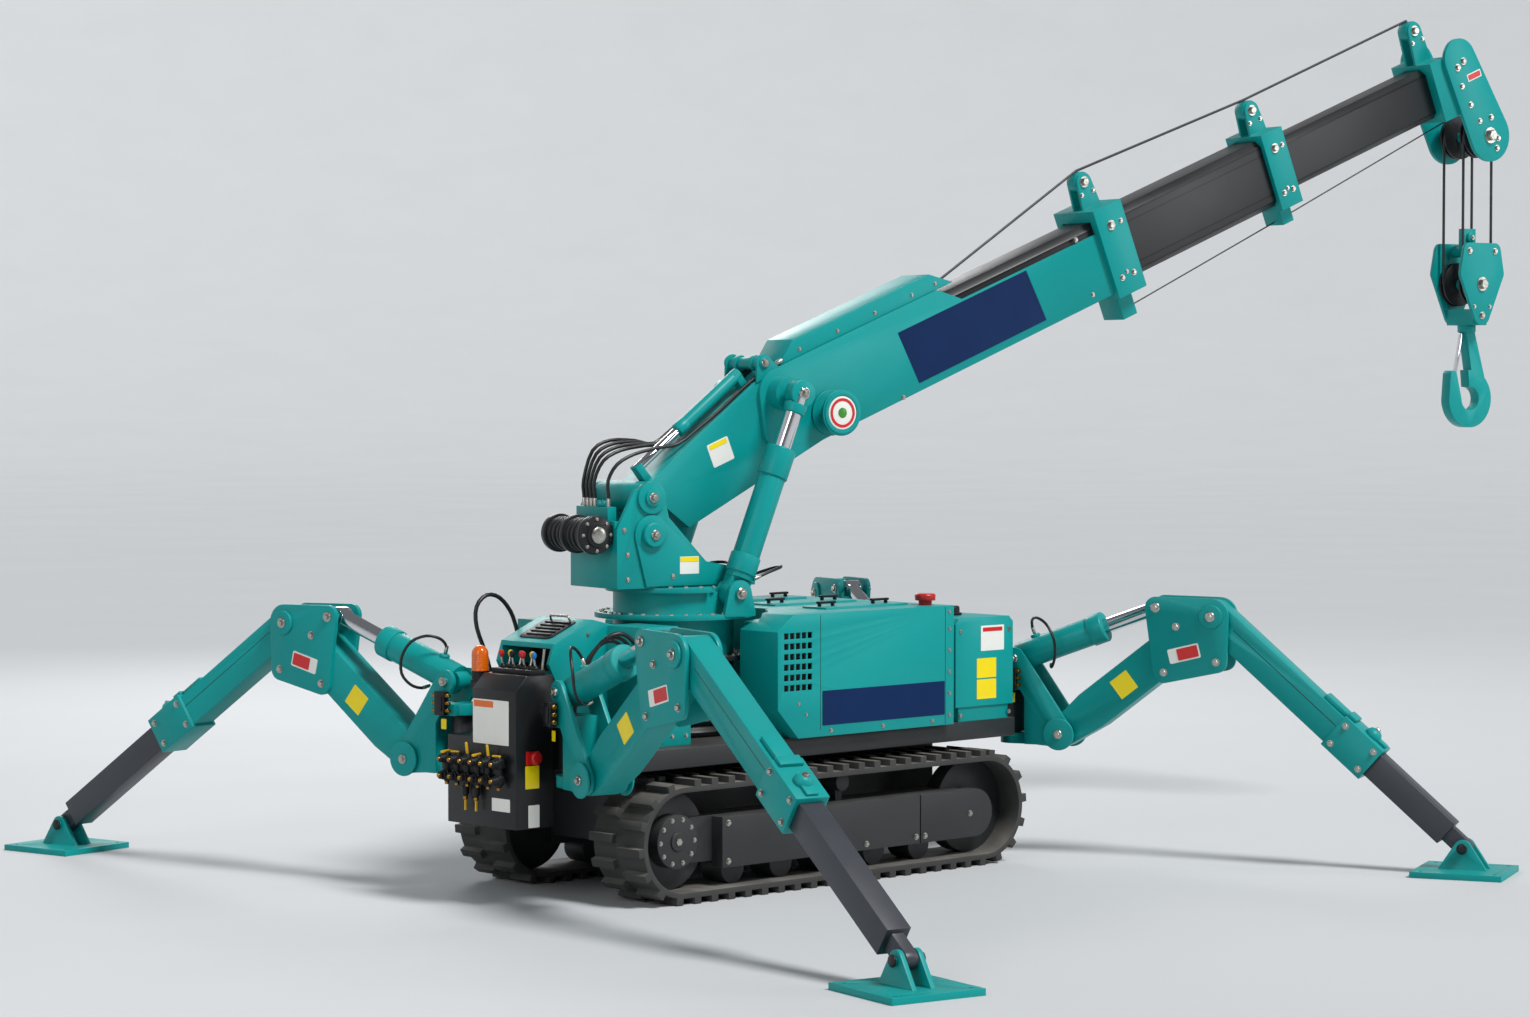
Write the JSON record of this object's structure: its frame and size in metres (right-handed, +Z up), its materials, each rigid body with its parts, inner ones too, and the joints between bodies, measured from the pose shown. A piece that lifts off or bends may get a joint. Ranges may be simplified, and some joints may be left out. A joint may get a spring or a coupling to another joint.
{
  "type": "crawler crane",
  "caption": "Compact tracked crane with a telescopic boom on a slewing turret, a hook block on rope falls and folding outriggers that stand on square feet.",
  "frame": {"origin": "middle of the box of the whole crane, on the ground", "axes": "+X along the tracks towards the engine end, +Y to the left of +X, +Z up"},
  "size_m": [7.3238, 6.7674, 4.5323],
  "materials": {
    "teal_paint": "gloss enamel",
    "black_paint": "satin enamel",
    "frame_paint": "matt chassis paint",
    "track_rubber": "moulded",
    "chrome_rod": "hard chrome",
    "bare_steel": "zinc plated",
    "cast_metal": "as cast",
    "amber_lens": "clear amber",
    "bellows_rubber": "moulded",
    "rope_steel": "wire rope"
  },
  "bodies": {
    "chassis": {"chassis_frame": "frame_paint", "track_belt_near": "track_rubber", "track_belt_far": "track_rubber", "track_frame_near": "frame_paint", "track_frame_far": "frame_paint", "engine_cover": "teal_paint", "engine_block": "cast_metal", "tank_box": "teal_paint", "valve_housing": "teal_paint", "control_box": "black_paint", "controls": "black_paint", "lamp": "amber_lens", "slew_column": "bellows_rubber"},
    "turret": {"slew_drum": "teal_paint", "turret_house": "teal_paint", "hose_winch": "black_paint"},
    "boom_base": {"boom_base": "teal_paint", "boom_top_cover": "teal_paint", "cable_reel": "teal_paint"},
    "boom_middle": {"boom_middle": "black_paint", "collar_b": "teal_paint"},
    "boom_tip": {"boom_tip": "black_paint", "boom_head": "teal_paint"},
    "head_sheaves": {"head_sheaves": "bare_steel"},
    "lift_barrels": {"lift_barrels": "teal_paint"},
    "lift_rods": {"lift_rods": "chrome_rod"},
    "rope_falls": {"rope_falls": "rope_steel"},
    "hook_block": {"hook_block": "teal_paint"},
    "block_sheaves": {"block_sheaves": "bare_steel"},
    "hook": {"hook": "teal_paint", "hook_latch": "chrome_rod"},
    "bracket_fn": {"bracket_fn": "teal_paint"},
    "arm_fn": {"arm_fn": "teal_paint"},
    "jack_barrel_fn": {"jack_barrel_fn": "teal_paint"},
    "jack_rod_fn": {"jack_rod_fn": "chrome_rod"},
    "leg_fn": {"leg_fn": "teal_paint"},
    "leg_bar_fn": {"leg_bar_fn": "black_paint"},
    "foot_fn": {"foot_fn": "teal_paint"},
    "bracket_ff": {"bracket_ff": "teal_paint"},
    "arm_ff": {"arm_ff": "teal_paint"},
    "jack_barrel_ff": {"jack_barrel_ff": "teal_paint"},
    "jack_rod_ff": {"jack_rod_ff": "chrome_rod"},
    "leg_ff": {"leg_ff": "teal_paint"},
    "leg_bar_ff": {"leg_bar_ff": "black_paint"},
    "foot_ff": {"foot_ff": "teal_paint"},
    "bracket_rn": {"bracket_rn": "teal_paint"},
    "arm_rn": {"arm_rn": "teal_paint"},
    "jack_barrel_rn": {"jack_barrel_rn": "teal_paint"},
    "jack_rod_rn": {"jack_rod_rn": "chrome_rod"},
    "leg_rn": {"leg_rn": "teal_paint"},
    "leg_bar_rn": {"leg_bar_rn": "black_paint"},
    "foot_rn": {"foot_rn": "teal_paint"},
    "bracket_rf": {"bracket_rf": "teal_paint"},
    "arm_rf": {"arm_rf": "teal_paint"},
    "jack_barrel_rf": {"jack_barrel_rf": "teal_paint"},
    "jack_rod_rf": {"jack_rod_rf": "chrome_rod"},
    "leg_rf": {"leg_rf": "teal_paint"},
    "leg_bar_rf": {"leg_bar_rf": "black_paint"},
    "foot_rf": {"foot_rf": "teal_paint"}
  },
  "joints": [
    {"name": "slew", "type": "hinge", "parent": "chassis", "child": "turret", "pos_m": [-1.85321, 0, 0], "axis": [0, 0, 1], "continuous": true},
    {"name": "boom_luff", "type": "hinge", "parent": "turret", "child": "boom_base", "pos_m": [-2.11714, 0.04654, 1.9163], "axis": [-0.1736, -0.9848, 0], "range_deg": [-22, 58]},
    {"name": "boom_middle_slide", "type": "slide", "parent": "boom_base", "child": "boom_middle", "axis": [0.9131, -0.161, 0.3746], "range_m": [-0.98, 1.15]},
    {"name": "boom_tip_slide", "type": "slide", "parent": "boom_middle", "child": "boom_tip", "axis": [0.9131, -0.161, 0.3746], "range_m": [-1.05, 1.25]},
    {"name": "head_sheave_spin", "type": "hinge", "parent": "boom_tip", "child": "head_sheaves", "pos_m": [3.47721, -0.9399, 3.89434], "axis": [-0.1736, -0.9848, 0], "continuous": true},
    {"name": "lift_barrel_tilt", "type": "hinge", "parent": "turret", "child": "lift_barrels", "pos_m": [-1.71239, -0.02483, 1.4433], "axis": [-0.1736, -0.9848, 0], "range_deg": [-15.83, 40.1]},
    {"name": "lift_rod_slide", "type": "slide", "parent": "lift_barrels", "child": "lift_rods", "axis": [0.365, -0.0644, 0.9288], "range_m": [-0.1832, 0.4748]},
    {"name": "rope_plumb", "type": "hinge", "parent": "boom_tip", "child": "rope_falls", "pos_m": [3.47721, -0.9399, 3.89434], "axis": [0.1736, 0.9848, 0], "range_deg": [-23, 59]},
    {"name": "hoist", "type": "slide", "parent": "rope_falls", "child": "hook_block", "axis": [0, 0, -1], "range_m": [-0.25, 2.1], "deforming": ["rope_falls"]},
    {"name": "block_sheave_spin", "type": "hinge", "parent": "hook_block", "child": "block_sheaves", "pos_m": [3.47721, -0.9399, 3.04434], "axis": [-0.1736, -0.9848, 0], "continuous": true},
    {"name": "hook_swivel", "type": "hinge", "parent": "hook_block", "child": "hook", "pos_m": [3.47721, -0.9399, 3.04434], "axis": [0, 0, 1], "continuous": true},
    {"name": "swing_fn", "type": "hinge", "parent": "chassis", "child": "bracket_fn", "pos_m": [-2.86321, -0.42, 0], "axis": [0, 0, 1], "range_deg": [-34, 5]},
    {"name": "arm_lift_fn", "type": "hinge", "parent": "bracket_fn", "child": "arm_fn", "pos_m": [-2.91473, -0.68504, 0.64], "axis": [-0.9816, 0.1908, 0], "range_deg": [-8, 27]},
    {"name": "jack_tilt_fn", "type": "hinge", "parent": "bracket_fn", "child": "jack_barrel_fn", "pos_m": [-2.86703, -0.43963, 1.03], "axis": [-0.9816, 0.1908, 0], "range_deg": [-8.79, 27.3]},
    {"name": "jack_slide_fn", "type": "slide", "parent": "jack_barrel_fn", "child": "jack_rod_fn", "axis": [-0.1789, -0.9201, 0.3484], "range_m": [-0.2215, 0.0691]},
    {"name": "knee_fn", "type": "hinge", "parent": "arm_fn", "child": "leg_fn", "pos_m": [-3.0696, -1.48178, 1.27413], "axis": [-0.9816, 0.1908, 0], "range_deg": [-10, 45]},
    {"name": "leg_extend_fn", "type": "slide", "parent": "leg_fn", "child": "leg_bar_fn", "axis": [-0.1575, -0.81, -0.5648], "range_m": [-0.767, 0.095]},
    {"name": "foot_tilt_fn", "type": "hinge", "parent": "leg_bar_fn", "child": "foot_fn", "pos_m": [-3.38688, -3.11402, 0.136], "axis": [-0.9816, 0.1908, 0], "range_deg": [-30, 30]},
    {"name": "swing_ff", "type": "hinge", "parent": "chassis", "child": "bracket_ff", "pos_m": [-2.86321, 0.42, 0], "axis": [0, 0, -1], "range_deg": [-34, 5]},
    {"name": "arm_lift_ff", "type": "hinge", "parent": "bracket_ff", "child": "arm_ff", "pos_m": [-2.91473, 0.68504, 0.64], "axis": [0.9816, 0.1908, 0], "range_deg": [-8, 27]},
    {"name": "jack_tilt_ff", "type": "hinge", "parent": "bracket_ff", "child": "jack_barrel_ff", "pos_m": [-2.86703, 0.43963, 1.03], "axis": [0.9816, 0.1908, 0], "range_deg": [-8.79, 27.3]},
    {"name": "jack_slide_ff", "type": "slide", "parent": "jack_barrel_ff", "child": "jack_rod_ff", "axis": [-0.1789, 0.9201, 0.3484], "range_m": [-0.2215, 0.0691]},
    {"name": "knee_ff", "type": "hinge", "parent": "arm_ff", "child": "leg_ff", "pos_m": [-3.0696, 1.48178, 1.27413], "axis": [0.9816, 0.1908, 0], "range_deg": [-10, 45]},
    {"name": "leg_extend_ff", "type": "slide", "parent": "leg_ff", "child": "leg_bar_ff", "axis": [-0.1575, 0.81, -0.5648], "range_m": [-0.767, 0.095]},
    {"name": "foot_tilt_ff", "type": "hinge", "parent": "leg_bar_ff", "child": "foot_ff", "pos_m": [-3.38688, 3.11402, 0.136], "axis": [0.9816, 0.1908, 0], "range_deg": [-30, 30]},
    {"name": "swing_rn", "type": "hinge", "parent": "chassis", "child": "bracket_rn", "pos_m": [0.20679, -0.42, 0], "axis": [0, 0, -1], "range_deg": [-36, 18]},
    {"name": "arm_lift_rn", "type": "hinge", "parent": "bracket_rn", "child": "arm_rn", "pos_m": [0.31661, -0.66666, 0.64], "axis": [-0.9135, -0.4067, 0], "range_deg": [-8, 27]},
    {"name": "jack_tilt_rn", "type": "hinge", "parent": "bracket_rn", "child": "jack_barrel_rn", "pos_m": [0.21492, -0.43827, 1.03], "axis": [-0.9135, -0.4067, 0], "range_deg": [-8.79, 27.3]},
    {"name": "jack_slide_rn", "type": "slide", "parent": "jack_barrel_rn", "child": "jack_rod_rn", "axis": [0.3813, -0.8563, 0.3484], "range_m": [-0.2215, 0.0691]},
    {"name": "knee_rn", "type": "hinge", "parent": "arm_rn", "child": "leg_rn", "pos_m": [0.64673, -1.40814, 1.27413], "axis": [-0.9135, -0.4067, 0], "range_deg": [-10, 45]},
    {"name": "leg_extend_rn", "type": "slide", "parent": "leg_rn", "child": "leg_bar_rn", "axis": [0.3055, -0.6862, -0.6602], "range_m": [-0.476, 0.386]},
    {"name": "foot_tilt_rn", "type": "hinge", "parent": "leg_bar_rn", "child": "foot_rn", "pos_m": [1.17343, -2.59111, 0.136], "axis": [-0.9135, -0.4067, 0], "range_deg": [-30, 30]},
    {"name": "swing_rf", "type": "hinge", "parent": "chassis", "child": "bracket_rf", "pos_m": [0.20679, 0.42, 0], "axis": [0, 0, 1], "range_deg": [-36, 18]},
    {"name": "arm_lift_rf", "type": "hinge", "parent": "bracket_rf", "child": "arm_rf", "pos_m": [0.31661, 0.66666, 0.64], "axis": [0.9135, -0.4067, 0], "range_deg": [-8, 27]},
    {"name": "jack_tilt_rf", "type": "hinge", "parent": "bracket_rf", "child": "jack_barrel_rf", "pos_m": [0.21492, 0.43827, 1.03], "axis": [0.9135, -0.4067, 0], "range_deg": [-8.79, 27.3]},
    {"name": "jack_slide_rf", "type": "slide", "parent": "jack_barrel_rf", "child": "jack_rod_rf", "axis": [0.3813, 0.8563, 0.3484], "range_m": [-0.2215, 0.0691]},
    {"name": "knee_rf", "type": "hinge", "parent": "arm_rf", "child": "leg_rf", "pos_m": [0.64673, 1.40814, 1.27413], "axis": [0.9135, -0.4067, 0], "range_deg": [-10, 45]},
    {"name": "leg_extend_rf", "type": "slide", "parent": "leg_rf", "child": "leg_bar_rf", "axis": [0.3055, 0.6862, -0.6602], "range_m": [-0.476, 0.386]},
    {"name": "foot_tilt_rf", "type": "hinge", "parent": "leg_bar_rf", "child": "foot_rf", "pos_m": [1.17343, 2.59111, 0.136], "axis": [0.9135, -0.4067, 0], "range_deg": [-30, 30]}
  ],
  "couplings": [
    {"joint": "lift_barrel_tilt", "follows": "boom_luff", "ratio": 0.6742},
    {"joint": "lift_rod_slide", "follows": "boom_luff", "m_per_rad": 0.4641},
    {"joint": "rope_plumb", "follows": "boom_luff", "ratio": 1},
    {"joint": "jack_tilt_fn", "follows": "arm_lift_fn", "ratio": 0.9741},
    {"joint": "jack_slide_fn", "follows": "arm_lift_fn", "m_per_rad": -0.4594},
    {"joint": "jack_tilt_ff", "follows": "arm_lift_ff", "ratio": 0.9741},
    {"joint": "jack_slide_ff", "follows": "arm_lift_ff", "m_per_rad": -0.4594},
    {"joint": "jack_tilt_rn", "follows": "arm_lift_rn", "ratio": 0.9741},
    {"joint": "jack_slide_rn", "follows": "arm_lift_rn", "m_per_rad": -0.4594},
    {"joint": "jack_tilt_rf", "follows": "arm_lift_rf", "ratio": 0.9741},
    {"joint": "jack_slide_rf", "follows": "arm_lift_rf", "m_per_rad": -0.4594}
  ]
}
